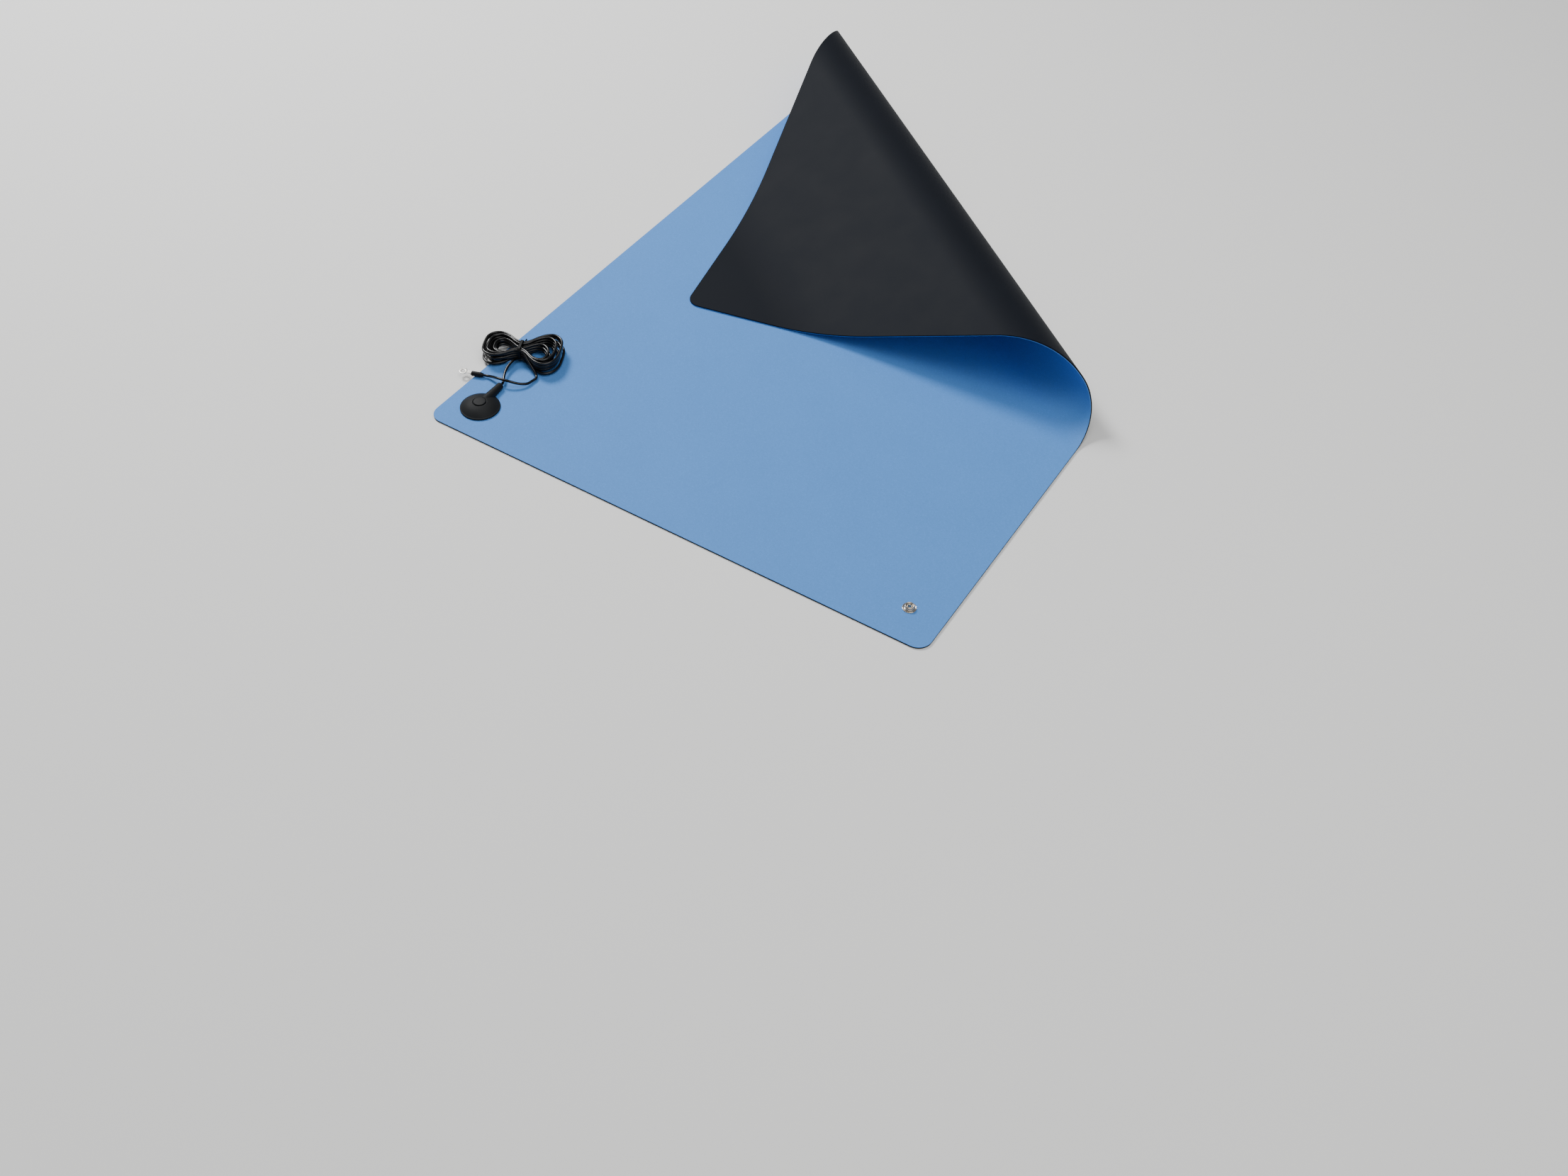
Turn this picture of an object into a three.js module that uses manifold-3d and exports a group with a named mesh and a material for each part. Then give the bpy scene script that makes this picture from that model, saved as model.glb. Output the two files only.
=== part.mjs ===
// Anti static bench mat: a two layer rubber mat with one far corner folded over, a snap stud in each front
// corner, and a ground cord whose moulded snap cap is pressed on the left stud. Millimetres, +Z up, +X along
// the front edge, +Y along the length of the mat.
import * as THREE from "three";
import { mergeVertices } from "three/addons/utils/BufferGeometryUtils.js";
import Module from "manifold-3d";

// The mat as it was cut
const MAT_WIDTH = 600;
const MAT_LENGTH = 900;
const CORNER_RADIUS = 15;
const BASE_THICKNESS = 1.5;
const SURFACE_THICKNESS = 0.5;
const CORNER_STEPS = 6;

// The fold, measured on the blue face. The mat leaves the bench along a straight line.
const FOLD_DIRECTION = 50.7; // degrees from the front edge to the way the corner is carried
const FOLD_DISTANCE = 636; // from the front left corner to the line, along that direction
const RISE_RADIUS = 32;
const RISE_TURN = 120; // degrees
const CREST_RADIUS = 56.5;
const FLAP_SLOPE = 25.4; // degrees that the flap comes down at
const LANDING_RADIUS = 210;
const FLAP_GAP = 0.3;
const BEND_STEP = 12; // degrees of turn in one facet

// The snap studs and the rivets that hold them
const STUD_SIDE_INSET = 38; // from the side edge to the middle of the stud
const STUD_FRONT_INSET = 41; // from the front edge
const STUD_FLANGE_RADIUS = 7.1;
const STUD_FLANGE_THICKNESS = 0.45;
const STUD_BEAD_HEIGHT = 0.8; // of the raised rim round the flange
const STUD_BEAD_WIDTH = 0.9;
const STUD_NECK_RADIUS = 4.2;
const STUD_HEAD_RADIUS = 5;
const STUD_HEIGHT = 3.9;
const STUD_WELL_RADIUS = 3.4;
const STUD_WELL_FLOOR = 2.3; // above the blue face
const RIVET_FLANGE_RADIUS = 7.5;
const RIVET_FLANGE_THICKNESS = 0.5;
const RIVET_BARREL_RADIUS = 1.8;
const RIVET_BORE_RADIUS = 1.5;
const RIVET_CURL_RADIUS = 2.6;
const RIVET_CURL_THICKNESS = 0.7;

// The snap cap of the ground cord
const CAP_RADIUS = 21.5;
const CAP_RIM_HEIGHT = 1.6;
const CAP_SHOULDER_RADIUS = 8.4;
const CAP_SHOULDER_HEIGHT = 8.2;
const CAP_BUTTON_RADIUS = 6.6;
const CAP_BUTTON_RISE = 1.1;
const CAP_FLANGE_POCKET_HEIGHT = 1.1;
const BARREL_TURN = 93; // degrees from the front edge to the way the cord leaves
const BARREL_REACH = 37.5; // from the middle of the cap to the flat end
const BARREL_END_RADIUS = 3.7;
const BARREL_ROOT_RADIUS = 5.6;
const BARREL_ROOT_TOP = 8.2; // height of the barrel's top line where it meets the button, above the blue face
const SOCKET_WALL = 1.4;
const SOCKET_HEIGHT = 2.6;

// The ground cord
const CORD_RADIUS = 1.5;
const CORD_SIDES = 8;
const HANK_PLACE = [22, 132]; // the waist, from the front left corner
const HANK_TURN = 23; // degrees from the front edge to the long axis
const HANK_RIGHT_LOBE = { reach: 47, halfWidth: 28 };
const HANK_LEFT_LOBE = { reach: 43, halfWidth: 22 };
const HANK_WAIST_HALF_WIDTH = 8.5;
const HANK_HEIGHT = 16;
const HANK_EDGE_ROUND = 3;
const TIE_THICKNESS = 0.8;
const TIE_WIDTH = 3.2;

// The ring terminal at the far end of the cord
const TERMINAL_PLACE = [9, 81.6]; // where the cord goes into the sleeve
const TERMINAL_TURN = 200; // degrees from the front edge to the way the ring points
const SLEEVE_RADIUS = 2.8;
const SLEEVE_LENGTH = 13;
const SLEEVE_WALL = 0.6;
const CRIMP_RADIUS = 1.9;
const CRIMP_OUT = 1.6; // length of crimp barrel that shows past the sleeve
const RING_RADIUS = 4.6;
const RING_HOLE_RADIUS = 2.2;
const RING_THICKNESS = 0.8;
const RING_NECK_HALF_WIDTH = 2.2;
const RING_REACH = 9.5; // from the sleeve to the middle of the ring

const GAP = 0.3; // clearance between pieces that pass each other
const ROUND_STEPS = 28;

const rad = THREE.MathUtils.degToRad;
const MAT_TOP = BASE_THICKNESS + SURFACE_THICKNESS;
const cordSpine = (points) =>
  new THREE.CatmullRomCurve3(points.map((p) => new THREE.Vector3(...p)));

const wasm = await Module();
wasm.setup();

const finish = (color, roughness, metalness = 0) =>
  new THREE.MeshStandardMaterial({ color, roughness, metalness });
const blueRubber = finish(0x7f9fcb, 0.75);
const blackRubber = finish(0x2a2c30, 0.7);
const nickel = finish(0xcfc9c0, 0.25, 1);
const tinned = finish(0xb9b9b6, 0.35, 1);
const blackPlastic = finish(0x26282a, 0.55);
const blackCord = finish(0x101114, 0.3);
const blackTie = finish(0x17181a, 0.6);

// A named mesh of one piece.
function piece(name, geometry, material, place = [0, 0, 0]) {
  const mesh = new THREE.Mesh(geometry, material);
  mesh.name = name;
  mesh.position.set(...place);
  return mesh;
}

// A manifold solid of a closed geometry, and the geometry of a manifold solid.
function solidOf(geometry) {
  const bare = new THREE.BufferGeometry();
  const source = geometry.index ? geometry.toNonIndexed() : geometry;
  bare.setAttribute("position", source.getAttribute("position"));
  const merged = mergeVertices(bare, 1e-4);
  return new wasm.Manifold(
    new wasm.Mesh({
      numProp: 3,
      vertProperties: merged.getAttribute("position").array,
      triVerts: new Uint32Array(merged.index.array),
    }),
  );
}

function geometryOf(solid) {
  const { vertProperties, triVerts } = solid.getMesh();
  return new THREE.BufferGeometry()
    .setAttribute("position", new THREE.BufferAttribute(vertProperties, 3))
    .setIndex(new THREE.BufferAttribute(triVerts, 1));
}

// A turned piece about +Z from [radius, height] pairs, listed counterclockwise on the right of the axis.
function turned(profile, steps = ROUND_STEPS) {
  const closed = [...profile, profile[0]];
  const lathe = new THREE.LatheGeometry(
    closed.map(([radius, height]) => new THREE.Vector2(radius, height)),
    steps,
  );
  return lathe.rotateX(Math.PI / 2);
}

// The fold as a chain of bends, each with the length of mat that it takes and the angle it turns through.
const riseTurn = rad(RISE_TURN);
const flapSlope = rad(FLAP_SLOPE);
const crestTurn = Math.PI + flapSlope - riseTurn;
const loopHeight =
  RISE_RADIUS * (1 - Math.cos(riseTurn)) +
  CREST_RADIUS * (Math.cos(riseTurn) + Math.cos(flapSlope));
const landingDrop = LANDING_RADIUS * (1 - Math.cos(flapSlope));
const slopeLength =
  (loopHeight - landingDrop - FLAP_GAP) / Math.sin(flapSlope);
const bends = [
  { length: RISE_RADIUS * riseTurn, turn: riseTurn },
  { length: CREST_RADIUS * crestTurn, turn: crestTurn },
  { length: slopeLength, turn: 0 },
  { length: LANDING_RADIUS * flapSlope, turn: -flapSlope },
];
const foldWay = new THREE.Vector2(
  Math.cos(rad(FOLD_DIRECTION)),
  Math.sin(rad(FOLD_DIRECTION)),
);
const pastFold = (point) => point.dot(foldWay) - FOLD_DISTANCE;

// Where the blue face is after a length of mat past the fold line: forward, up, and the way it heads.
function bendAt(length) {
  let left = length;
  let forward = 0;
  let up = 0;
  let heading = 0;
  for (const bend of bends) {
    const run = Math.min(left, bend.length);
    const turn = (bend.turn * run) / bend.length;
    if (turn === 0) {
      forward += run * Math.cos(heading);
      up += run * Math.sin(heading);
    } else {
      const radius = run / turn;
      forward += radius * (Math.sin(heading + turn) - Math.sin(heading));
      up -= radius * (Math.cos(heading + turn) - Math.cos(heading));
      heading += turn;
    }
    left -= run;
  }
  forward += left * Math.cos(heading);
  up += left * Math.sin(heading);
  return { forward, up, heading };
}

// A point of the flat pattern, at a depth below the blue face, taken to its place in the folded mat.
function foldedPoint({ point, past }, depth) {
  if (past <= 0)
    return new THREE.Vector3(point.x, point.y, MAT_TOP - depth);
  const { forward, up, heading } = bendAt(past);
  const shift = forward - past + depth * Math.sin(heading);
  return new THREE.Vector3(
    point.x + shift * foldWay.x,
    point.y + shift * foldWay.y,
    MAT_TOP + up - depth * Math.cos(heading),
  );
}

// The lengths past the fold line where one facet of the fold ends and the next begins.
function facetLines() {
  const lines = [0];
  for (const { length, turn } of bends) {
    const count = Math.max(1, Math.ceil(Math.abs(turn) / rad(BEND_STEP)));
    const start = lines.at(-1);
    for (let i = 1; i <= count; i++) lines.push(start + (length * i) / count);
  }
  return lines;
}

// The cut outline, counterclockwise, with a point wherever a facet line crosses it.
function cutOutline(lines) {
  const r = CORNER_RADIUS;
  const corners = [
    [MAT_WIDTH - r, r],
    [MAT_WIDTH - r, MAT_LENGTH - r],
    [r, MAT_LENGTH - r],
    [r, r],
  ];
  const plain = corners.flatMap(([x, y], quarter) =>
    Array.from({ length: CORNER_STEPS + 1 }, (_, i) => {
      const angle = (Math.PI / 2) * (quarter - 1 + i / CORNER_STEPS);
      const point = new THREE.Vector2(
        x + r * Math.cos(angle),
        y + r * Math.sin(angle),
      );
      return { point, past: pastFold(point) };
    }),
  );
  return plain.flatMap((a, i) => {
    const b = plain[(i + 1) % plain.length];
    const crossed = lines.filter(
      (line) => (line - a.past) * (line - b.past) < 0,
    );
    if (b.past < a.past) crossed.reverse();
    return [
      a,
      ...crossed.map((past) => {
        const share = (past - a.past) / (b.past - a.past);
        return { point: a.point.clone().lerp(b.point, share), past };
      }),
    ];
  });
}

const facetEdges = facetLines();
const outline = cutOutline(facetEdges);
const studPlaces = {
  left: [STUD_SIDE_INSET, STUD_FRONT_INSET],
  right: [MAT_WIDTH - STUD_SIDE_INSET, STUD_FRONT_INSET],
};

// A ring of points round a stud's place, clockwise as a hole is.
function holeRing([x, y], radius) {
  return Array.from({ length: ROUND_STEPS }, (_, i) => {
    const angle = (-2 * Math.PI * i) / ROUND_STEPS;
    const point = new THREE.Vector2(
      x + radius * Math.cos(angle),
      y + radius * Math.sin(angle),
    );
    return { point, past: pastFold(point) };
  });
}

// One layer of the mat between two depths. The hole steps are [radius, depth] pairs from the layer's upper
// face down to its lower face.
function layer(upperDepth, lowerDepth, holeSteps) {
  const corners = [];
  const add = (...places) =>
    corners.push(...places.flatMap((place) => place.toArray()));
  const holes = Object.values(studPlaces);

  const face = (depth, holeRadius, up) => {
    const bounds = [-Infinity, ...facetEdges, Infinity];
    for (let i = 0; i + 1 < bounds.length; i++) {
      const strip = outline.filter(
        ({ past }) => past >= bounds[i] && past <= bounds[i + 1],
      );
      if (strip.length < 3) continue;
      const rings =
        i === 0 ? holes.map((place) => holeRing(place, holeRadius)) : [];
      const all = [strip, ...rings].flat();
      const triangles = THREE.ShapeUtils.triangulateShape(
        strip.map(({ point }) => point),
        rings.map((ring) => ring.map(({ point }) => point)),
      );
      for (const triangle of triangles) {
        const [a, b, c] = triangle.map((k) => foldedPoint(all[k], depth));
        if (up) add(a, b, c);
        else add(a, c, b);
      }
    }
  };

  const wall = (upper, upperAt, lower, lowerAt) =>
    upper.forEach((point, i) => {
      const next = (i + 1) % upper.length;
      const [a, b] = [lower[i], lower[next]].map((p) => foldedPoint(p, lowerAt));
      const [c, d] = [upper[next], point].map((p) => foldedPoint(p, upperAt));
      add(a, b, c, a, c, d);
    });

  face(upperDepth, holeSteps[0][0], true);
  face(lowerDepth, holeSteps.at(-1)[0], false);
  wall(outline, upperDepth, outline, lowerDepth);
  for (const place of holes)
    for (let i = 0; i + 1 < holeSteps.length; i++) {
      const [upperRadius, upperAt] = holeSteps[i];
      const [lowerRadius, lowerAt] = holeSteps[i + 1];
      wall(
        holeRing(place, upperRadius),
        upperAt,
        holeRing(place, lowerRadius),
        lowerAt,
      );
    }
  return new THREE.BufferGeometry().setAttribute(
    "position",
    new THREE.Float32BufferAttribute(corners, 3),
  );
}

const holeRadius = RIVET_BARREL_RADIUS + GAP;
const recessRadius = RIVET_FLANGE_RADIUS + GAP;
const recessCeiling = MAT_TOP - RIVET_FLANGE_THICKNESS;

function surfaceLayer() {
  return layer(0, SURFACE_THICKNESS, [
    [holeRadius, 0],
    [holeRadius, SURFACE_THICKNESS],
  ]);
}

function baseLayer() {
  return layer(SURFACE_THICKNESS, MAT_TOP, [
    [holeRadius, SURFACE_THICKNESS],
    [holeRadius, recessCeiling],
    [recessRadius, recessCeiling],
    [recessRadius, MAT_TOP],
  ]);
}

// The male stud: a beaded flange on the blue face, a necked head, and a well with the rivet's hole in its
// floor.
function snapStud() {
  const flangeTop = MAT_TOP + STUD_FLANGE_THICKNESS;
  const beadTop = MAT_TOP + STUD_BEAD_HEIGHT;
  const beadInside = STUD_FLANGE_RADIUS - STUD_BEAD_WIDTH;
  const headTop = MAT_TOP + STUD_HEIGHT;
  const headHeight = STUD_HEIGHT - STUD_FLANGE_THICKNESS;
  const bulge = headTop - 0.4 * headHeight;
  const rim = STUD_HEAD_RADIUS - STUD_WELL_RADIUS;
  return turned([
    [holeRadius, MAT_TOP],
    [STUD_FLANGE_RADIUS, MAT_TOP],
    [STUD_FLANGE_RADIUS, beadTop - 0.3],
    [STUD_FLANGE_RADIUS - 0.25, beadTop],
    [beadInside + 0.25, beadTop],
    [beadInside, flangeTop],
    [STUD_NECK_RADIUS, flangeTop],
    [STUD_NECK_RADIUS, flangeTop + 0.3 * headHeight],
    [STUD_HEAD_RADIUS, bulge],
    [STUD_HEAD_RADIUS - 0.1 * rim, headTop - 0.15 * headHeight],
    [STUD_HEAD_RADIUS - 0.4 * rim, headTop],
    [STUD_WELL_RADIUS + 0.2 * rim, headTop],
    [STUD_WELL_RADIUS, headTop - 0.15 * headHeight],
    [STUD_WELL_RADIUS, MAT_TOP + STUD_WELL_FLOOR],
    [holeRadius, MAT_TOP + STUD_WELL_FLOOR],
  ]);
}

// The rivet: a flange let into the underside, and a hollow barrel curled over the floor of the stud's well.
function rivet() {
  const floor = MAT_TOP + STUD_WELL_FLOOR;
  const top = floor + RIVET_CURL_THICKNESS;
  return turned([
    [RIVET_BORE_RADIUS, 0],
    [RIVET_FLANGE_RADIUS, 0],
    [RIVET_FLANGE_RADIUS, RIVET_FLANGE_THICKNESS],
    [RIVET_BARREL_RADIUS, RIVET_FLANGE_THICKNESS],
    [RIVET_BARREL_RADIUS, floor],
    [RIVET_CURL_RADIUS, floor],
    [RIVET_CURL_RADIUS, top - 0.2],
    [RIVET_CURL_RADIUS - 0.3, top],
    [RIVET_BORE_RADIUS, top],
  ]);
}

const socketRadius = STUD_HEAD_RADIUS + GAP;
const socketOutside = socketRadius + SOCKET_WALL;
const socketFoot = MAT_TOP + STUD_HEIGHT - SOCKET_HEIGHT;
const pocketRoof = MAT_TOP + STUD_HEIGHT + GAP;
const capSide = new THREE.Vector2(
  Math.cos(rad(BARREL_TURN)),
  Math.sin(rad(BARREL_TURN)),
);

// The moulded cap: a low cone with a round button, a pocket for the stud and its socket, and the barrel.
function snapCap() {
  const shoulder = MAT_TOP + CAP_SHOULDER_HEIGHT;
  const button = shoulder + CAP_BUTTON_RISE;
  const flangePocket = Math.max(STUD_FLANGE_RADIUS, socketOutside) + GAP;
  const flangeRoof = MAT_TOP + CAP_FLANGE_POCKET_HEIGHT;
  const disc = turned(
    [
      [flangePocket, MAT_TOP],
      [CAP_RADIUS, MAT_TOP],
      [CAP_RADIUS, MAT_TOP + CAP_RIM_HEIGHT],
      [CAP_RADIUS - 0.6, MAT_TOP + CAP_RIM_HEIGHT + 0.4],
      [CAP_SHOULDER_RADIUS, shoulder],
      [CAP_BUTTON_RADIUS, shoulder],
      [CAP_BUTTON_RADIUS, button - 0.4],
      [CAP_BUTTON_RADIUS - 0.5, button],
      [0, button],
      [0, pocketRoof],
      [socketOutside + GAP, pocketRoof],
      [socketOutside + GAP, flangeRoof],
      [flangePocket, flangeRoof],
    ],
    48,
  );
  const start = socketOutside + 2;
  const length = BARREL_REACH - start;
  const rootDrop = BARREL_END_RADIUS + BARREL_ROOT_RADIUS - BARREL_ROOT_TOP;
  const barrel = new THREE.CylinderGeometry(
    BARREL_END_RADIUS,
    BARREL_ROOT_RADIUS,
    length,
    24,
  )
    .translate(0, -length / 2, 0)
    .applyMatrix4(new THREE.Matrix4().makeShear(0, 0, 0, rootDrop / length, 0, 0))
    .translate(0, BARREL_REACH, BARREL_END_RADIUS)
    .rotateZ(rad(BARREL_TURN - 90))
    .translate(0, 0, MAT_TOP);
  const underSide = 4 * CAP_RADIUS;
  const underDepth = 2 * BARREL_ROOT_RADIUS;
  const below = new THREE.BoxGeometry(underSide, underSide, underDepth)
    .rotateZ(rad(BARREL_TURN))
    .translate(
      (capSide.x * underSide) / 2,
      (capSide.y * underSide) / 2,
      MAT_TOP - underDepth / 2,
    );
  const flatBarrel = solidOf(barrel).subtract(solidOf(below));
  return geometryOf(solidOf(disc).add(flatBarrel));
}

// The metal socket that grips the stud, held in the roof of the cap's pocket.
function snapSocket() {
  return turned([
    [socketRadius, socketFoot],
    [socketOutside, socketFoot],
    [socketOutside, pocketRoof],
    [socketRadius, pocketRoof],
  ]);
}

// A round cord along a smooth line through its points.
function cord(points) {
  const spine = cordSpine(points);
  const section = new THREE.Shape();
  section.absarc(0, 0, CORD_RADIUS, 0, 2 * Math.PI);
  return new THREE.ExtrudeGeometry(section, {
    steps: Math.ceil(spine.getLength() / (5 * CORD_RADIUS)),
    curveSegments: Math.round(CORD_SIDES / 2),
    extrudePath: spine,
    bevelEnabled: false,
  });
}

// The cord's two free stretches, in the mat's own frame, and how high each point is above the bench.
const cordAxis = MAT_TOP + BARREL_END_RADIUS;
const alongBarrel = (reach) => [
  STUD_SIDE_INSET + capSide.x * reach,
  STUD_FRONT_INSET + capSide.y * reach,
  cordAxis,
];
const leadPoints = [
  alongBarrel(BARREL_REACH + GAP),
  alongBarrel(BARREL_REACH + CORD_RADIUS * 2),
  [33.6, 86, cordAxis + 0.3],
  [30.6, 90.5, cordAxis + 0.9],
  [26.3, 99, cordAxis + 1.9],
  [24.2, 107, cordAxis + 2.8],
  [23.7, 115.4, cordAxis + 3.5],
];
const sleeveAxis = MAT_TOP + GAP + SLEEVE_RADIUS;
const terminalWay = new THREE.Vector2(
  Math.cos(rad(TERMINAL_TURN)),
  Math.sin(rad(TERMINAL_TURN)),
);
const beforeSleeve = (reach) => [
  TERMINAL_PLACE[0] - reach * terminalWay.x,
  TERMINAL_PLACE[1] - reach * terminalWay.y,
  sleeveAxis,
];
const crossing = cordAxis + 2 * CORD_RADIUS + 4 * GAP; // where the tail passes over the lead
const tailPoints = [
  [56.8, 115.2, MAT_TOP + 2.2],
  [58.6, 105, MAT_TOP + 2.4],
  [57.6, 97.5, MAT_TOP + 3],
  [54.2, 92.3, MAT_TOP + 4.2],
  [48.5, 88, crossing - 2],
  [42, 85, crossing - 0.4],
  [34.5, 83, crossing],
  [27, 82.6, crossing - 1],
  [20, 83.4, MAT_TOP + 4.8],
  beforeSleeve(CORD_RADIUS * 3),
  beforeSleeve(GAP),
];

const tieFoot = MAT_TOP + GAP;
const hankFoot = tieFoot + TIE_THICKNESS + GAP;

// The tied hank: the outside of a figure of eight, with a narrow waist under the tie.
function hank() {
  const waistHalfLength = TIE_WIDTH / 2 + GAP + HANK_EDGE_ROUND;
  const lobe = ({ reach, halfWidth }, side) => {
    const middle = (reach + waistHalfLength) / 2;
    return new THREE.EllipseCurve(
      side * middle,
      0,
      reach - middle,
      halfWidth,
      side > 0 ? rad(-130) : rad(50),
      side > 0 ? rad(130) : rad(310),
    ).getPoints(12);
  };
  const rounded = HANK_EDGE_ROUND;
  const waistEdge = HANK_WAIST_HALF_WIDTH - rounded;
  const waist = (side) =>
    [side, -side].map(
      (way) => new THREE.Vector2(way * waistHalfLength, side * waistEdge),
    );
  const shrink = (points) =>
    points.map((p) => p.clone().multiplyScalar(1 - rounded / p.length()));
  const edge = [
    ...shrink(lobe(HANK_RIGHT_LOBE, 1)),
    ...waist(1),
    ...shrink(lobe(HANK_LEFT_LOBE, -1)),
    ...waist(-1),
  ];
  return new THREE.ExtrudeGeometry(new THREE.Shape(edge), {
    depth: HANK_HEIGHT - 2 * rounded,
    bevelThickness: rounded,
    bevelSize: rounded,
    bevelSegments: 2,
    steps: 1,
  }).translate(0, 0, rounded);
}

// The twist tie: a flat band round the hank's waist.
function tie() {
  const band = (grow) => {
    const halfWidth = HANK_WAIST_HALF_WIDTH + GAP + grow;
    const halfHeight = HANK_HEIGHT / 2 + GAP + grow;
    const r = HANK_EDGE_ROUND + grow;
    const path = new THREE.Path();
    path.absarc(halfWidth - r, halfHeight - r, r, 0, Math.PI / 2);
    path.absarc(r - halfWidth, halfHeight - r, r, Math.PI / 2, Math.PI);
    path.absarc(r - halfWidth, r - halfHeight, r, Math.PI, 1.5 * Math.PI);
    path.absarc(halfWidth - r, r - halfHeight, r, 1.5 * Math.PI, 2 * Math.PI);
    return path.getPoints(4);
  };
  const ring = new THREE.Shape(band(TIE_THICKNESS));
  ring.holes.push(new THREE.Path(band(0)));
  return new THREE.ExtrudeGeometry(ring, {
    depth: TIE_WIDTH,
    bevelEnabled: false,
  })
    .translate(0, 0, -TIE_WIDTH / 2)
    .rotateX(Math.PI / 2)
    .rotateZ(Math.PI / 2)
    .translate(0, 0, HANK_HEIGHT / 2);
}

// The shrunk sleeve, open at the ring's end where the crimp barrel goes in.
function sleeve() {
  const pocket = CRIMP_RADIUS + GAP;
  const pocketStart = SLEEVE_LENGTH / 3;
  return turned(
    [
      [0, 0],
      [SLEEVE_RADIUS - SLEEVE_WALL, 0],
      [SLEEVE_RADIUS, 2 * SLEEVE_WALL],
      [SLEEVE_RADIUS, SLEEVE_LENGTH],
      [pocket, SLEEVE_LENGTH],
      [pocket, pocketStart],
      [0, pocketStart],
    ],
    16,
  ).rotateY(Math.PI / 2);
}

// The terminal: a crimp barrel that runs into the sleeve, and a flat ring on the barrel's lower side.
function ringTerminal() {
  const start = SLEEVE_LENGTH / 3 + GAP;
  const end = SLEEVE_LENGTH + CRIMP_OUT;
  const barrel = new THREE.CylinderGeometry(
    CRIMP_RADIUS,
    CRIMP_RADIUS,
    end - start,
    16,
  )
    .rotateZ(-Math.PI / 2)
    .translate((start + end) / 2, 0, 0);
  const middle = SLEEVE_LENGTH + RING_REACH;
  const neck = Math.asin(RING_NECK_HALF_WIDTH / RING_RADIUS);
  const flat = new THREE.Shape();
  flat.moveTo(end - 1, -RING_NECK_HALF_WIDTH);
  flat.absarc(middle, 0, RING_RADIUS, neck - Math.PI, Math.PI - neck);
  flat.lineTo(end - 1, RING_NECK_HALF_WIDTH);
  const hole = new THREE.Path();
  hole.absarc(middle, 0, RING_HOLE_RADIUS, 0, 2 * Math.PI, true);
  flat.holes.push(hole);
  const plate = new THREE.ExtrudeGeometry(flat, {
    depth: RING_THICKNESS,
    curveSegments: 24,
    bevelEnabled: false,
  }).translate(0, 0, -CRIMP_RADIUS);
  return geometryOf(solidOf(barrel).add(solidOf(plate)));
}

const mat = new THREE.Group();
mat.add(piece("base_layer", baseLayer(), blackRubber));
mat.add(piece("surface_layer", surfaceLayer(), blueRubber));
for (const [side, [x, y]] of Object.entries(studPlaces)) {
  mat.add(piece(`snap_stud_${side}`, snapStud(), nickel, [x, y, 0]));
  mat.add(piece(`stud_rivet_${side}`, rivet(), nickel, [x, y, 0]));
}
const capPlace = [...studPlaces.left, 0];
mat.add(piece("snap_cap", snapCap(), blackPlastic, capPlace));
mat.add(piece("snap_socket", snapSocket(), nickel, capPlace));

const groundCord = new THREE.Group();
groundCord.add(piece("cord_lead", cord(leadPoints), blackCord));
groundCord.add(piece("cord_tail", cord(tailPoints), blackCord));

const tiedHank = new THREE.Group();
tiedHank.position.set(...HANK_PLACE, hankFoot);
tiedHank.rotation.z = rad(HANK_TURN);
tiedHank.add(piece("cord_hank", hank(), blackCord));
tiedHank.add(piece("hank_tie", tie(), blackTie));

const terminal = new THREE.Group();
terminal.position.set(...TERMINAL_PLACE, sleeveAxis);
terminal.rotation.z = rad(TERMINAL_TURN);
terminal.add(piece("terminal_sleeve", sleeve(), blackPlastic));
terminal.add(piece("ring_terminal", ringTerminal(), tinned));
groundCord.add(tiedHank, terminal);

// The origin is under the middle of the mat's box, without the cord.
const box = new THREE.Box3().setFromObject(mat, true);
const benchMat = new THREE.Group();
benchMat.add(mat, groundCord);
benchMat.position.set(
  -(box.min.x + box.max.x) / 2,
  -(box.min.y + box.max.y) / 2,
  0,
);

export default benchMat;
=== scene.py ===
"""The looks of an anti static bench mat: a blue and black rubber mat with one corner folded over,
snap studs, and a ground cord tied in a hank. Everything is in metres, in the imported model's frame."""

import math
import random

import bmesh
import bpy
from bpy.props import FloatProperty, FloatVectorProperty, IntProperty, PointerProperty
from mathutils import Matrix, Vector
from mathutils.geometry import tessellate_polygon


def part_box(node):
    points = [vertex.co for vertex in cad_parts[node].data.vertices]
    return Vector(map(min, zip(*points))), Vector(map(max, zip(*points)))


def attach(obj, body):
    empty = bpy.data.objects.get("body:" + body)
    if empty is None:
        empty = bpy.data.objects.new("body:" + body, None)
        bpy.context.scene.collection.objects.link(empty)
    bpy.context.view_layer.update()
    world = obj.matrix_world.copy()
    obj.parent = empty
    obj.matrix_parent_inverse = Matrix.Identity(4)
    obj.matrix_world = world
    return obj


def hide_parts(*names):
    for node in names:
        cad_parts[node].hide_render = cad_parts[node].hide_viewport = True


bl_info = {
    "name": "Anti static bench mat",
    "version": (1, 0, 0),
    "blender": (4, 5, 0),
    "location": "View3D > Sidebar > Bench mat",
    "description": "Builds a folded two layer bench mat with its snap studs and ground cord",
    "category": "Object",
}

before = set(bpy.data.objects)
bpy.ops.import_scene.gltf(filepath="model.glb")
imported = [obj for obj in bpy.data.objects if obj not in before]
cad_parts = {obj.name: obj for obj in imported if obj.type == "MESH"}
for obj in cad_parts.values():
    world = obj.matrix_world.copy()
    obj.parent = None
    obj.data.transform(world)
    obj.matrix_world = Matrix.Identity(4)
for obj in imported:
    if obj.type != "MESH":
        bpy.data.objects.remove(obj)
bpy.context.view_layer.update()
MM = 0.001
QUARTER = math.pi / 2
GAP = 0.3 * MM
SAME_PLACE = 1e-7

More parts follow.
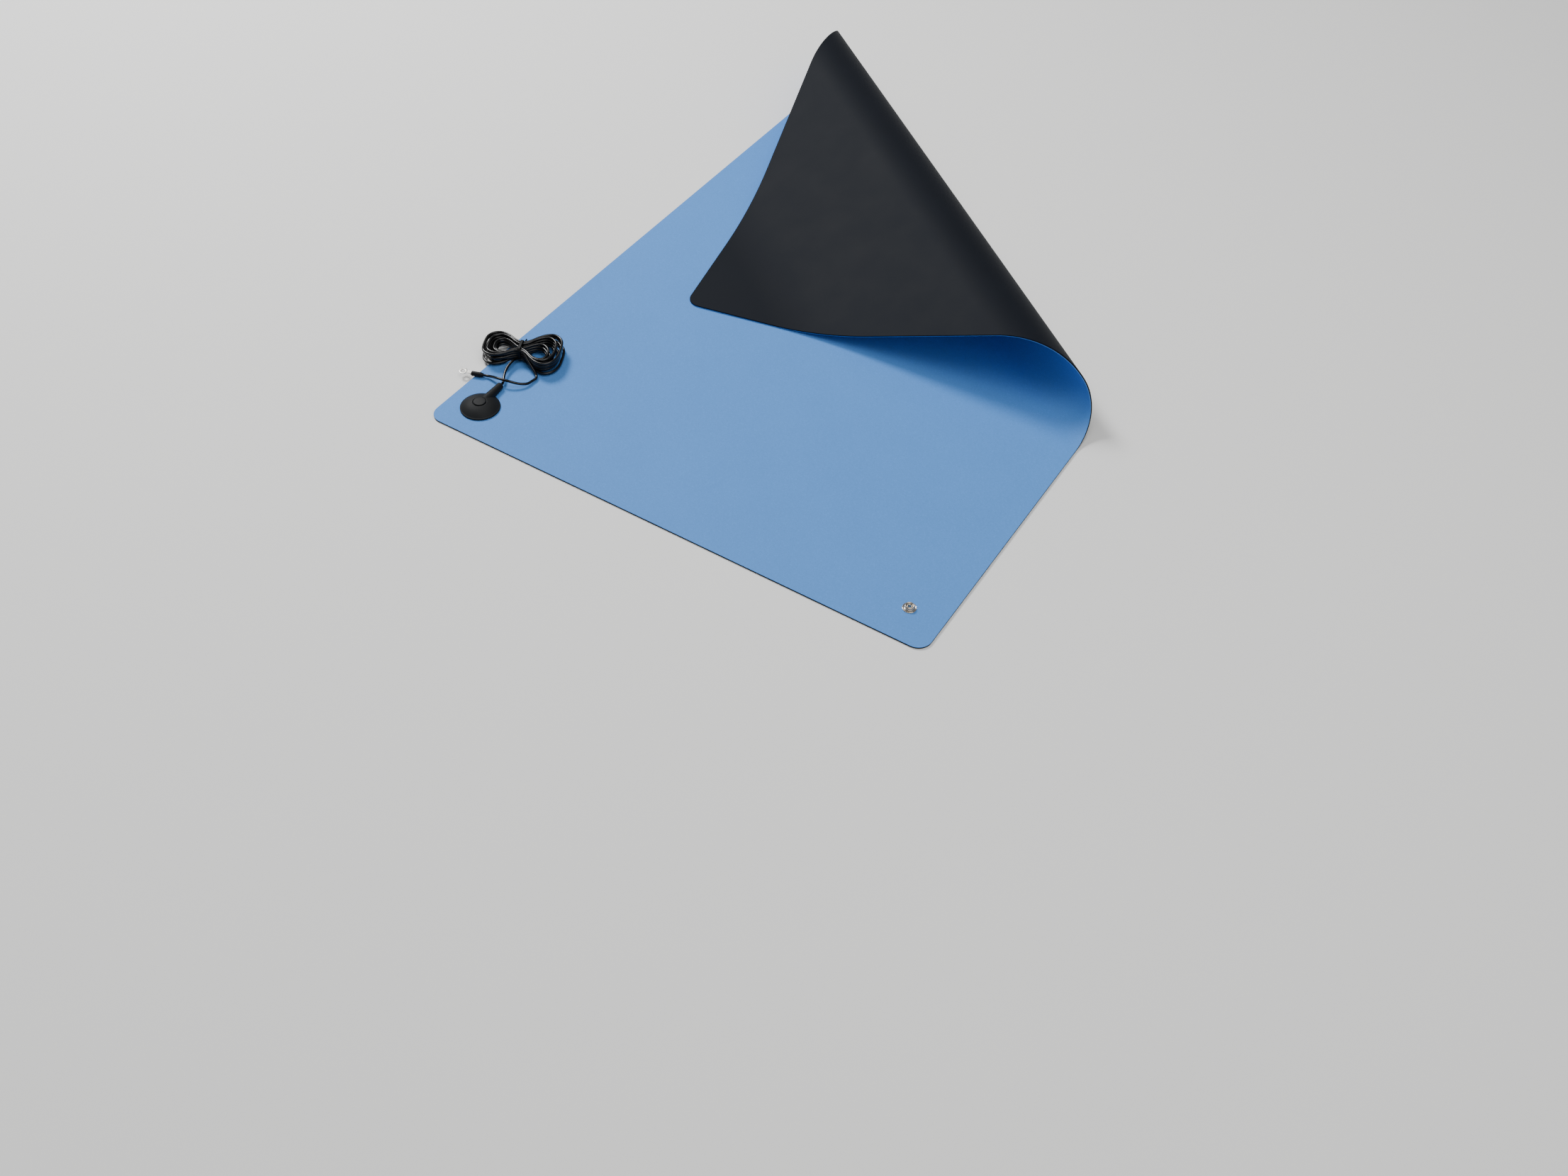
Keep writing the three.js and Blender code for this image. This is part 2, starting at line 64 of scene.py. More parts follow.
MAT_LOW, MAT_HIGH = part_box("base_layer")
STUD_LOW, STUD_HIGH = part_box("snap_stud_right")
CAP_LOW, CAP_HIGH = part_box("snap_cap")
HANK_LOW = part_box("cord_hank")[0]
TIE_LOW, TIE_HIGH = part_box("hank_tie")
SLEEVE_LOW, SLEEVE_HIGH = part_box("terminal_sleeve")
MAT_TOP = STUD_LOW.z


def size(name, default, description, **more):
    """A length in metres."""
    return FloatProperty(
        name=name, default=default, description=description, unit="LENGTH", precision=5, **more
    )


def turn(name, degrees, description):
    """An angle, given here in degrees."""
    return FloatProperty(
        name=name, default=math.radians(degrees), description=description, subtype="ANGLE"
    )


def colour(name, default, description):
    """A linear colour."""
    return FloatVectorProperty(
        name=name, default=default, description=description, subtype="COLOR", size=3, min=0, max=1
    )


class MatSizes(bpy.types.PropertyGroup):
    """The mat as it was cut, and the fold of its far corner."""

    width: size("Width", 0.6, "Length of the front edge")
    length: size("Length", 0.9, "Length of the side edges")
    corner: size("Corner radius", 0.015, "Radius of the four corners")
    surface: size("Surface layer", 0.0005, "Thickness of the blue layer")
    inset: size("Stud inset", 0.038, "From each edge to the middle of a stud")
    fold_way: turn("Fold direction", 50.7, "From the front edge to the way the corner is carried")
    fold_start: size("Fold distance", 0.636, "From the front left corner to the fold line")
    rise_radius: size("Rise radius", 0.032, "Radius where the mat leaves the bench")
    rise_turn: turn("Rise turn", 120, "How far the first bend turns")
    crest_radius: size("Crest radius", 0.0565, "Radius over the crest")
    slope: turn("Flap slope", 25.4, "Angle at which the flap comes down")
    landing_radius: size("Landing radius", 0.21, "Radius where the flap meets the mat")
    facet: turn("Facet", 1.5, "Turn of one facet of the bends")


class SnapSizes(bpy.types.PropertyGroup):
    """The snap studs and the snap cap."""

    flange: size("Flange radius", 0.0071, "Radius of the stud's flange")
    well: size("Well radius", 0.0034, "Radius of the well in the head")
    well_floor: size("Well floor", 0.0023, "Height of the well's floor above the blue face")
    head: size("Head radius", 0.005, "Radius of the stud's head")
    cap: size("Cap radius", 0.0215, "Radius of the moulded cap")
    shoulder: size("Cap shoulder", 0.0082, "Height of the dome round the button")
    button: size("Button radius", 0.0066, "Radius of the round button on the cap")
    barrel_way: turn("Barrel direction", 93, "From the front edge to the way the cord leaves")
    barrel_reach: size("Barrel reach", 0.0375, "From the middle of the cap to the flat end")
    barrel_end: size("Barrel end radius", 0.0037, "Radius at the flat end")
    barrel_root: size("Barrel root radius", 0.0056, "Radius inside the cap")


class CordSizes(bpy.types.PropertyGroup):
    """The ground cord, its hank and its terminal."""

    length: size("Cord length", 3.05, "From the barrel of the cap to the terminal")
    radius: size("Cord radius", 0.0015, "Radius of the round cord")
    rows: IntProperty(name="Rows", default=5, description="Layers of turns in the hank")
    columns: IntProperty(name="Columns", default=3, description="Turns side by side in a layer")
    spread: size("Spread", 0.0062, "From one turn to the next at the ends of the hank")
    hank_way: turn("Hank direction", 23, "From the front edge to the long axis of the hank")
    right_reach: size("Right reach", 0.0452, "From the waist to the right end")
    right_half: size("Right half width", 0.0262, "Half width of the right lobe")
    left_reach: size("Left reach", 0.0412, "From the waist to the left end")
    left_half: size("Left half width", 0.0202, "Half width of the left lobe")
    terminal_way: turn("Terminal direction", 200, "From the front edge to the way the ring points")


class MatFinishes(bpy.types.PropertyGroup):
    """Colours of the finishes."""

    blue: colour("Blue rubber", (0.088, 0.275, 0.68), "The surface layer")
    black: colour("Black rubber", (0.0054, 0.0072, 0.0115), "The base layer")
    nickel: colour("Nickel", (0.66, 0.62, 0.56), "Studs, rivets and the socket")
    tin: colour("Tin", (0.42, 0.41, 0.39), "The ring terminal")
    plastic: colour("Moulded plastic", (0.0070, 0.0078, 0.0088), "The snap cap")
    jacket: colour("Cord jacket", (0.0030, 0.0032, 0.0040), "The cord's glossy jacket")
    sleeve: colour("Sleeve", (0.0060, 0.0062, 0.0068), "The shrunk sleeve and the tie")


class StageSettings(bpy.types.PropertyGroup):
    """The camera and the floor."""

    lens: FloatProperty(name="Lens", default=36.975, description="Focal length on a 36 mm sensor")
    across: size("Camera across", 0.9818, "From the front left corner, along the front edge")
    along: size("Camera along", -0.9119, "From the front left corner, along the length")
    height: size("Camera height", 1.1418, "Above the bench")
    heading: turn("Camera heading", 30.434, "Turn about the vertical")
    pitch: turn("Camera pitch", 47.2336, "How far the camera looks down")
    roll: turn("Camera roll", 2.1847, "Turn about the line of sight")
    floor: colour("Floor", (0.9, 0.9, 0.89), "The pale floor")


class Wire:
    """A value in a material. Python's operators on it add Math nodes."""

    def __init__(self, finish, socket):
        self.finish = finish
        self.socket = socket

    def maths(self, operation, other):
        return self.finish.node("ShaderNodeMath", {"operation": operation}, {0: self, 1: other})

    def __add__(self, other):
        return self.maths("ADD", other)

    __radd__ = __add__

    def __mul__(self, other):
        return self.maths("MULTIPLY", other)

    __rmul__ = __mul__


class Finish:
    """A material with one Principled shader, and the ways to add nodes to it."""

    def __init__(self, name, **shader):
        self.material = bpy.data.materials.new(name)
        self.material.use_nodes = True
        self.tree = self.material.node_tree
        self.shader = self.tree.nodes["Principled BSDF"]
        self.feed(self.shader, {key.replace("_", " "): value for key, value in shader.items()})
        self.place = self.node("ShaderNodeTexCoord", out="Object")

    def feed(self, node, sockets):
        """Links the wires to a node's sockets and sets its other values."""
        for key, value in sockets.items():
            if isinstance(value, Wire):
                self.tree.links.new(value.socket, node.inputs[key])
            elif hasattr(value, "__len__") and len(value) == 3 and node.inputs[key].type == "RGBA":
                node.inputs[key].default_value = (*value, 1.0)
            else:
                node.inputs[key].default_value = value

    def node(self, kind, settings=None, sockets=None, out=0):
        """A node of that type. Its settings are set first; stops are (place, grey) pairs of a ramp."""
        made = self.tree.nodes.new(kind)
        for key, value in (settings or {}).items():
            if key != "stops":
                setattr(made, key, value)
                continue
            ramp = made.color_ramp.elements
            while len(ramp) < len(value):
                ramp.new(0.5)
            for stop, (place, grey) in zip(ramp, value):
                stop.position = place
                stop.color = (grey, grey, grey, 1.0)
        self.feed(made, sockets or {})
        return Wire(self, made.outputs[out])

    def noise(self, grain, detail, roughness):
        """Cloudy noise whose lumps are about one grain across, in metres."""
        sockets = {"Scale": 1.0 / grain, "Detail": detail, "Roughness": roughness, "Vector": self.place}
        return self.node("ShaderNodeTexNoise", None, sockets, "Fac")

    def ramp(self, value, *stops):
        """Grey between stops, which are (place, grey) pairs."""
        return self.node("ShaderNodeValToRGB", {"stops": stops}, {"Fac": value}, "Color")

    def mix(self, share, first, second):
        """A colour between two colours."""
        settings = {"data_type": "RGBA"}
        return self.node("ShaderNodeMix", settings, {0: share, 6: first, 7: second}, 2)

    def bump(self, height, depth, strength):
        """A bump from a height between 0 and 1 that is depth metres deep."""
        sockets = {"Height": height, "Distance": depth, "Strength": strength}
        return self.node("ShaderNodeBump", None, sockets, "Normal")

    def finished(self, **sockets):
        """The material, once its shader has these values."""
        self.feed(self.shader, {key.replace("_", " "): value for key, value in sockets.items()})
        return self.material


def shade(tint, factor):
    """A colour made lighter or darker."""
    return tuple(min(1.0, channel * factor) for channel in tint)


def blue_rubber(tint):
    """Matt blue sheet: fine light and dark flecks in the colour, and a fine pebbled skin."""
    finish = Finish("blue_rubber", Specular_IOR_Level=0.18)
    fleck = finish.noise(1.3 * MM, 2.0, 0.6)
    cloud = finish.noise(60 * MM, 3.0, 0.5)
    light = finish.ramp(fleck, (0.56, 0.0), (0.72, 1.0))
    dark = finish.ramp(fleck, (0.28, 1.0), (0.44, 0.0))
    body = finish.mix(cloud, shade(tint, 0.96), shade(tint, 1.04))
    speckled = finish.mix(light * 0.30, body, shade(tint, 1.45))
    speckled = finish.mix(dark * 0.30, speckled, shade(tint, 0.72))
    skin = finish.noise(0.7 * MM, 3.0, 0.6)
    return finish.finished(
        Base_Color=speckled,
        Roughness=0.60 + 0.12 * skin,
        Normal=finish.bump(skin, 0.05 * MM, 0.5),
    )


def black_rubber(tint):
    """Dull black sheet with a faint grain and a slightly smoother, dusty look in patches."""
    finish = Finish("black_rubber", Specular_IOR_Level=0.12)
    grain = finish.noise(0.8 * MM, 3.0, 0.6)
    patch = finish.noise(45 * MM, 4.0, 0.55)
    body = finish.mix(patch, shade(tint, 0.88), shade(tint, 1.15))
    dusty = finish.mix(finish.ramp(grain, (0.55, 0.0), (0.75, 1.0)) * 0.22, body, shade(tint, 2.4))
    return finish.finished(
        Base_Color=dusty,
        Roughness=0.58 + 0.10 * patch + 0.08 * grain,
        Normal=finish.bump(grain, 0.04 * MM, 0.45),
    )


def plated_metal(name, tint, roughness):
    """Bright plating with faint smudges and a fine grit."""
    finish = Finish(name, Metallic=1.0)
    smudge = finish.noise(2.5 * MM, 3.0, 0.6)
    grit = finish.noise(0.25 * MM, 2.0, 0.5)
    tone = finish.mix(smudge, shade(tint, 0.82), shade(tint, 1.08))
    return finish.finished(
        Base_Color=tone,
        Roughness=roughness + 0.16 * smudge,
        Normal=finish.bump(grit, 0.008 * MM, 0.5),
    )


def moulded_plastic(name, tint, roughness):
    """Black moulded plastic with a fine spark eroded grain and rubbed patches."""
    finish = Finish(name, Specular_IOR_Level=0.16)
    skin = finish.noise(0.45 * MM, 3.0, 0.6)
    rub = finish.noise(9 * MM, 3.0, 0.5)
    tone = finish.mix(rub, shade(tint, 0.85), shade(tint, 1.25))
    return finish.finished(
        Base_Color=finish.mix(skin * 0.3, tone, shade(tint, 1.7)),
        Roughness=roughness + 0.14 * rub,
        Normal=finish.bump(skin, 0.035 * MM, 0.6),
    )


def cord_jacket(tint):
    """Glossy black jacket, a little uneven along the cord."""
    finish = Finish("cord_jacket", Specular_IOR_Level=0.42)
    ripple = finish.noise(2.2 * MM, 2.0, 0.5)
    dust = finish.noise(0.6 * MM, 3.0, 0.6)
    return finish.finished(
        Base_Color=finish.mix(finish.ramp(dust, (0.6, 0.0), (0.8, 1.0)) * 0.25, tint, shade(tint, 3)),
        Roughness=0.17 + 0.14 * ripple,
        Normal=finish.bump(ripple, 0.03 * MM, 0.5),
    )


def pale_floor(tint):
    """A plain pale floor with hardly any variation."""
    finish = Finish("pale_floor", Specular_IOR_Level=0.2)
    haze = finish.noise(0.4, 2.0, 0.5)
    return finish.finished(
        Base_Color=finish.mix(haze, shade(tint, 0.985), tint),
        Roughness=0.85,
    )


def piece(name, mesh, material, slot, *nodes):
    """A finished mesh as a piece of the object, in place of CAD nodes."""
    made = bpy.data.objects.new(name, mesh)
    bpy.context.scene.collection.objects.link(made)
    made.data.materials.append(material)
    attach(made, "root")
    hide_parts(*nodes)
    return made


def dress(node, material):
    """The material of a CAD node that stays."""
    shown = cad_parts[node]
    shown.data.materials.clear()
    shown.data.materials.append(material)


def mesh_from(name, bm, crease_degrees):
    """A mesh of a bmesh, smooth except over sharp edges."""
    bmesh.ops.remove_doubles(bm, verts=bm.verts, dist=SAME_PLACE)
    bmesh.ops.recalc_face_normals(bm, faces=bm.faces)
    mesh = bpy.data.meshes.new(name)
    bm.to_mesh(mesh)
    bm.free()
    mesh.shade_smooth()
    mesh.set_sharp_from_angle(angle=math.radians(crease_degrees))
    return mesh


def spin(bm, profile, steps, place=None):
    """A turned solid about +Z from (radius, height) pairs, which start and end on the axis or close."""
    rings = []
    for radius, height in profile:
        ring = []
        for i in range(steps if radius > SAME_PLACE else 1):
            angle = math.tau * i / steps
            ring.append(bm.verts.new((radius * math.cos(angle), radius * math.sin(angle), height)))
        rings.append(ring)
    pairs = list(zip(rings, rings[1:]))
    if len(rings[0]) > 1:
        pairs.append((rings[-1], rings[0]))
    for low, high in pairs:
        for i in range(steps):
            j = (i + 1) % steps
            corners = [low[i % len(low)], low[j % len(low)], high[j % len(high)], high[i % len(high)]]
            unique = list(dict.fromkeys(corners))
            if len(unique) > 2:
                bm.faces.new(unique)
    if place is not None:
        bmesh.ops.transform(bm, matrix=place, verts=[v for ring in rings for v in ring])


def tube(bm, points, radii, sides):
    """A round bar along points, with a radius for each point and flat ends."""
    ahead = (points[1] - points[0]).normalized()
    side = ahead.orthogonal().normalized()
    rings = []
    for i, point in enumerate(points):
        after = points[min(i + 1, len(points) - 1)]
        before = points[max(i - 1, 0)]
        ahead = (after - before).normalized()
        side = (side - ahead * side.dot(ahead)).normalized()
        up = ahead.cross(side)
        ring = []
        for k in range(sides):
            angle = math.tau * k / sides
            place = point + radii[i] * math.cos(angle) * side + radii[i] * math.sin(angle) * up
            ring.append(bm.verts.new(place))
        rings.append(ring)
    join(bm, rings)
    bm.faces.new(rings[0][::-1])
    bm.faces.new(rings[-1])


def join(bm, rings):
    """Faces between each ring of corners and the next."""
    for low, high in zip(rings, rings[1:]):
        for k in range(len(low)):
            n = (k + 1) % len(low)
            bm.faces.new((low[k], low[n], high[n], high[k]))


def smooth_line(points, step):
    """Points close together on a smooth curve through the given ones."""
    points = [Vector(p) for p in points]
    dense = [points[0]]
    for i in range(len(points) - 1):
        p0 = points[max(i - 1, 0)]
        p1 = points[i]
        p2 = points[i + 1]
        p3 = points[min(i + 2, len(points) - 1)]
        gap = (p2 - p1).length
        count = max(1, math.ceil(gap / step))
        before = max((p1 - p0).length, 1e-6) ** 0.5
        here = max(gap, 1e-6) ** 0.5
        after = max((p3 - p2).length, 1e-6) ** 0.5
        leave = (p2 - p1) / here
        reach = (p2 - p1) / here
        if i:
            leave = (p1 - p0) / before - (p2 - p0) / (before + here) + (p2 - p1) / here
        if i + 2 < len(points):
            reach = (p2 - p1) / here - (p3 - p1) / (here + after) + (p3 - p2) / after
        leave *= here
        reach *= here
        for k in range(1, count + 1):
            t = k / count
            dense.append(
                (2 * t**3 - 3 * t**2 + 1) * p1
                + (t**3 - 2 * t**2 + t) * leave
                + (3 * t**2 - 2 * t**3) * p2
                + (t**3 - t**2) * reach
            )
    return dense


class FoldedSheet:
    """The flat cut of the mat, and where each point of it goes when the corner is folded over."""

    def __init__(self, sizes):
        self.sizes = sizes
        self.corner = Vector((MAT_HIGH.x - sizes.width, MAT_LOW.y))
        self.way = Vector((math.cos(sizes.fold_way), math.sin(sizes.fold_way)))
        crest_turn = math.pi + sizes.slope - sizes.rise_turn
        rise = sizes.rise_radius * (1 - math.cos(sizes.rise_turn))
        crest = sizes.crest_radius * (math.cos(sizes.rise_turn) + math.cos(sizes.slope))
        landing = sizes.landing_radius * (1 - math.cos(sizes.slope))
        slope_length = (rise + crest - landing - GAP) / math.sin(sizes.slope)
        self.bends = [
            (sizes.rise_radius * sizes.rise_turn, sizes.rise_turn),
            (sizes.crest_radius * crest_turn, crest_turn),
            (slope_length, 0.0),
            (sizes.landing_radius * sizes.slope, -sizes.slope),
        ]

    def past(self, point):
        """How far a point of the cut lies past the fold line."""
        return point.dot(self.way) - self.sizes.fold_start

    def bend_at(self, length):
        """Forward, up and heading of the blue face after a length past the fold line."""
        forward = up = heading = 0.0
        for whole, turned in self.bends:
            run = min(length, whole)
            angle = turned * run / whole
            if angle:
                radius = run / angle
                forward += radius * (math.sin(heading + angle) - math.sin(heading))
                up -= radius * (math.cos(heading + angle) - math.cos(heading))
                heading += angle
            else:
                forward += run * math.cos(heading)
                up += run * math.sin(heading)
            length -= run
        return forward + length * math.cos(heading), up + length * math.sin(heading), heading

    def folded(self, point, past, depth):
        """A point of the cut at a depth under the blue face, in the row frame."""
        shift, up, heading = 0.0, 0.0, 0.0
        if past > 0:
            forward, up, heading = self.bend_at(past)
            shift = forward - past + depth * math.sin(heading)
        flat = self.corner + point + shift * self.way
        return Vector((flat.x, flat.y, MAT_TOP + up - depth * math.cos(heading)))

    def facet_lines(self):
        """Where the bends are broken into facets, as lengths past the fold line."""
        lines = [0.0]
        for whole, turned in self.bends:
            count = max(1, math.ceil(abs(turned) / self.sizes.facet))
            start = lines[-1]
            lines += [start + whole * i / count for i in range(1, count + 1)]
        return lines

    def outline(self, lines, corner_steps=16):
        """The rounded outline, with a point wherever a facet line crosses it."""
        s, r = self.sizes, self.sizes.corner
        middles = [(s.width - r, r), (s.width - r, s.length - r), (r, s.length - r), (r, r)]
        plain = []
        for quarter, (x, y) in enumerate(middles):
            for i in range(corner_steps + 1):
                angle = QUARTER * (quarter - 1 + i / corner_steps)
                point = Vector((x + r * math.cos(angle), y + r * math.sin(angle)))
                plain.append((point, self.past(point)))
        full = []
        for i, (point, past) in enumerate(plain):
            full.append((point, past))
            after, after_past = plain[(i + 1) % len(plain)]
            crossed = sorted(line for line in lines if (line - past) * (line - after_past) < 0)
            if after_past < past:
                crossed.reverse()
            for line in crossed:
                share = (line - past) / (after_past - past)
                full.append((point.lerp(after, share), line))
        return full

    def hole(self, place, radius, steps=48):
        """The ring of a round hole."""
        ring = []
        for i in range(steps):
            angle = -math.tau * i / steps
            point = place + radius * Vector((math.cos(angle), math.sin(angle)))
            ring.append((point, self.past(point)))
        return ring

    def layer(self, upper, lower, hole_steps):
        """A closed solid of one layer between two depths. The hole steps are (radius, depth) pairs."""
        s = self.sizes
        lines = self.facet_lines()
        outline = self.outline(lines)
        studs = [Vector((s.inset, s.inset)), Vector((s.width - s.inset, s.inset))]
        bm = bmesh.new()

        def corners(ring, depth):
            return [bm.verts.new(self.folded(point, past, depth)) for point, past in ring]

        def face(depth, radius):
            bounds = [-math.inf, *lines, math.inf]
            for i, (low, high) in enumerate(zip(bounds, bounds[1:])):
                strip = [p for p in outline if low <= p[1] <= high]
                if len(strip) < 3:
                    continue
                rings = [strip] + ([self.hole(place, radius) for place in studs] if i == 0 else [])
                every = [p for ring in rings for p in ring]
                flat = [[Vector((*point, 0.0)) for point, _ in ring] for ring in rings]
                made = corners(every, depth)
                for triangle in tessellate_polygon(flat):
                    bm.faces.new([made[k] for k in triangle])

        def wall(ring_above, above, ring_below, below):
            a = corners(ring_above, above)
            b = corners(ring_below, below)
            for i in range(len(a)):
                j = (i + 1) % len(a)
                bm.faces.new((a[i], a[j], b[j], b[i]))

        face(upper, hole_steps[0][0])
        face(lower, hole_steps[-1][0])
        wall(outline, upper, outline, lower)
        for place in studs:
            for (r1, d1), (r2, d2) in zip(hole_steps, hole_steps[1:]):
                wall(self.hole(place, r1), d1, self.hole(place, r2), d2)
        return bm


RIVET_HOLE = 2.1 * MM
RIVET_RECESS = 7.8 * MM
RIVET_FLANGE = 0.5 * MM


class BENCHMAT_OT_layers(bpy.types.Operator):
    """Build the blue surface layer and the black base layer with the folded corner"""

    bl_idname = "benchmat.layers"
    bl_label = "Mat layers"

    def execute(self, context):
        sizes = context.scene.benchmat_mat
        tints = context.scene.benchmat_finish
        sheet = FoldedSheet(sizes)
        surface = sheet.layer(0.0, sizes.surface, [(RIVET_HOLE, 0.0), (RIVET_HOLE, sizes.surface)])
        recess = MAT_TOP - RIVET_FLANGE
        steps = [
            (RIVET_HOLE, sizes.surface),
            (RIVET_HOLE, recess),
            (RIVET_RECESS, recess),
            (RIVET_RECESS, MAT_TOP),
        ]
        base = sheet.layer(sizes.surface, MAT_TOP, steps)
        blue_mesh = mesh_from("surface_sheet", surface, 30)
        black_mesh = mesh_from("base_sheet", base, 30)
        blue = blue_rubber(tints.blue)
        top = piece("surface_sheet", blue_mesh, blue, "surface_rubber", "surface_layer")
        black = black_rubber(tints.black)
        under = piece("base_sheet", black_mesh, black, "base_rubber", "base_layer")
        return {"FINISHED"}


def arc(centre, radius, start, end, steps):
    """Points on an arc of a profile, in degrees."""
    made = []
    for i in range(steps + 1):
        angle = math.radians(start + (end - start) * i / steps)
        made.append((centre[0] + radius * math.cos(angle), centre[1] + radius * math.sin(angle)))
    return made


def stud_profile(sizes):
    """The male stud: a flange with a raised bead, a necked head and a well."""
    height = STUD_HIGH.z - STUD_LOW.z
    bead = 0.42 * MM
    plate = 0.45 * MM
    neck = sizes.head - 0.8 * MM
    lip = 0.5 * MM
    return [
        (RIVET_HOLE, 0.0),
        (sizes.flange - 0.15 * MM, 0.0),
        *arc((sizes.flange - bead, 0.9 * bead), bead, -55, 165, 14),
        (sizes.flange - 2.4 * bead, 0.7 * plate),
        (sizes.flange - 3.6 * bead, 0.7 * plate),
        (neck + 0.6 * MM, plate),
        (neck + 0.15 * MM, plate + 0.15 * MM),
        (neck, plate + 0.6 * MM),
        (neck, 0.40 * height),
        *arc((sizes.head - 0.7 * MM, 0.60 * height), 0.7 * MM, -60, 55, 8),
        *arc((sizes.well + lip + 0.35 * MM, height - lip), lip, 50, 180, 8),
        (sizes.well, height - 2 * lip),
        (sizes.well, sizes.well_floor),
        (RIVET_HOLE, sizes.well_floor),
    ]


def rivet_profile(sizes):
    """The rivet: a flange in the underside, a hollow barrel and its curl in the stud's well."""
    floor = STUD_LOW.z + sizes.well_floor
    bore = 1.5 * MM
    barrel = 1.8 * MM
    edge = 7.5 * MM
    curl = 0.35 * MM
    mouth = 0.45 * MM
    return [
        (bore, 0.0),
        (7.2 * MM, 0.0),
        (edge, 0.2 * MM),
        (edge, RIVET_FLANGE),
        (barrel, RIVET_FLANGE),
        (barrel, floor),
        *arc((2.25 * MM, floor + curl), curl, -60, 95, 8),
        *arc((bore + mouth, floor + 0.25 * MM), mouth, 90, 180, 6),
    ]


class BENCHMAT_OT_studs(bpy.types.Operator):
    """Build the snap studs and the rivets that hold them"""

    bl_idname = "benchmat.studs"
    bl_label = "Snap studs"

    def execute(self, context):
        sizes = context.scene.benchmat_snap
        metal = plated_metal("nickel", context.scene.benchmat_finish.nickel, 0.16)
        for side in ("left", "right"):
            low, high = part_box(f"snap_stud_{side}")
            middle = (low + high) / 2
            turned = (
                (f"stud_{side}", stud_profile(sizes), 96, low.z, f"snap_stud_{side}"),
                (f"rivet_{side}", rivet_profile(sizes), 72, 0.0, f"stud_rivet_{side}"),
            )
            for name, profile, steps, base, node in turned:
                bm = bmesh.new()
                spin(bm, profile, steps, Matrix.Translation((middle.x, middle.y, base)))
                piece(name, mesh_from(name, bm, 50), metal, "nickel", node)
        dress("snap_socket", metal)
        return {"FINISHED"}


def cap_middle():
    """The middle of the cap, on the blue face."""
    low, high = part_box("snap_stud_left")
    return Vector(((low.x + high.x) / 2, (low.y + high.y) / 2, MAT_TOP))


def disc_profile(sizes):
    """The cap's disc: a hollow for the stud, a thin rim, a domed top and a button in a groove."""
    button = CAP_HIGH.z - CAP_LOW.z
    pocket = STUD_HIGH.z - STUD_LOW.z + GAP
    head_room = 7.0 * MM
    flange_room = 7.4 * MM
    flange_deep = 1.1 * MM
    foot_edge = 0.3 * MM
    lip = 0.5 * MM
    groove = 0.9 * MM
    button_edge = 0.5 * MM
    disc = [
        (0.0, pocket),
        (head_room, pocket),
        (head_room, flange_deep),
        (flange_room, flange_deep),
        (flange_room, 0.0),
        *arc((sizes.cap - foot_edge, foot_edge), foot_edge, -90, 0, 3),
        *arc((sizes.cap - lip, 1.5 * MM), lip, 0, 75, 5),
    ]
    foot = Vector((sizes.cap - 0.9 * MM, 2.05 * MM))
    top = Vector((sizes.button + groove + lip, sizes.shoulder))
    bulge = Vector((0.35, 1.0)) * 0.7 * MM
    steps = 14
    for i in range(steps + 1):
        share = i / steps
        place = foot.lerp(top, share) + bulge * math.sin(math.pi * share)
        disc.append((place.x, place.y))
    return disc + [
        (sizes.button + groove, sizes.shoulder),
        (sizes.button + 0.8 * groove, sizes.shoulder - 0.8 * groove),
        (sizes.button + 0.1 * groove, sizes.shoulder - 0.8 * groove),
        *arc((sizes.button - button_edge, button - 0.7 * MM), button_edge, 0, 80, 4),
        (0.6 * sizes.button, button - 0.05 * MM),
        (0.0, button),
    ]


def barrel_solid(bm, sizes):
    """The tapered barrel, from inside the disc to its bevelled end."""
    start = 9.5 * MM
    bevel = 0.4 * MM
    way = Vector((math.cos(sizes.barrel_way), math.sin(sizes.barrel_way), 0.0))
    line = []
    radii = []
    steps = 24
    root_axis = sizes.shoulder - sizes.barrel_root
    for i in range(steps + 1):
        share = i / steps
        reach = start + (sizes.barrel_reach - start) * share
        lift = root_axis + (sizes.barrel_end - root_axis) * share
        line.append(cap_middle() + way * reach + Vector((0, 0, lift)))
        radii.append(sizes.barrel_root + (sizes.barrel_end - sizes.barrel_root) * share)
    line.insert(-1, line[-1] - way * bevel)
    radii.insert(-1, radii[-1])
    radii[-1] -= bevel
    tube(bm, line, radii, 40)


class BENCHMAT_OT_cap(bpy.types.Operator):
    """Build the moulded snap cap with its barrel"""

    bl_idname = "benchmat.cap"
    bl_label = "Snap cap"

    def execute(self, context):
        sizes = context.scene.benchmat_snap
        bm = bmesh.new()
        spin(bm, disc_profile(sizes), 128, Matrix.Translation(cap_middle()))
        barrel_solid(bm, sizes)
        mesh = mesh_from("snap_cap_shell", bm, 40)
        plastic = moulded_plastic("cap_plastic", context.scene.benchmat_finish.plastic, 0.5)
        shell = piece("snap_cap_shell", mesh, plastic, "cap_plastic", "snap_cap")
        weld = shell.modifiers.new("weld", "REMESH")
        weld.mode = "VOXEL"
        weld.voxel_size = 0.25 * MM
        ease = shell.modifiers.new("ease", "SMOOTH")
        ease.iterations = 3
        ease.factor = 0.5
        settle(shell)
        level_under(shell.data, MAT_TOP)
        return {"FINISHED"}


def settle(made):
    """Applies the modifiers of a piece to its mesh."""
    seen = made.evaluated_get(bpy.context.evaluated_depsgraph_get())
    mesh = bpy.data.meshes.new_from_object(seen)
    made.modifiers.clear()
    material = made.data.materials[0]
    made.data = mesh
    if not mesh.materials:
        mesh.materials.append(material)
    mesh.shade_smooth()


def level_under(mesh, floor):
    """Lifts what dips under a floor up to it."""
    for vertex in mesh.vertices:
        vertex.co.z = max(vertex.co.z, floor)


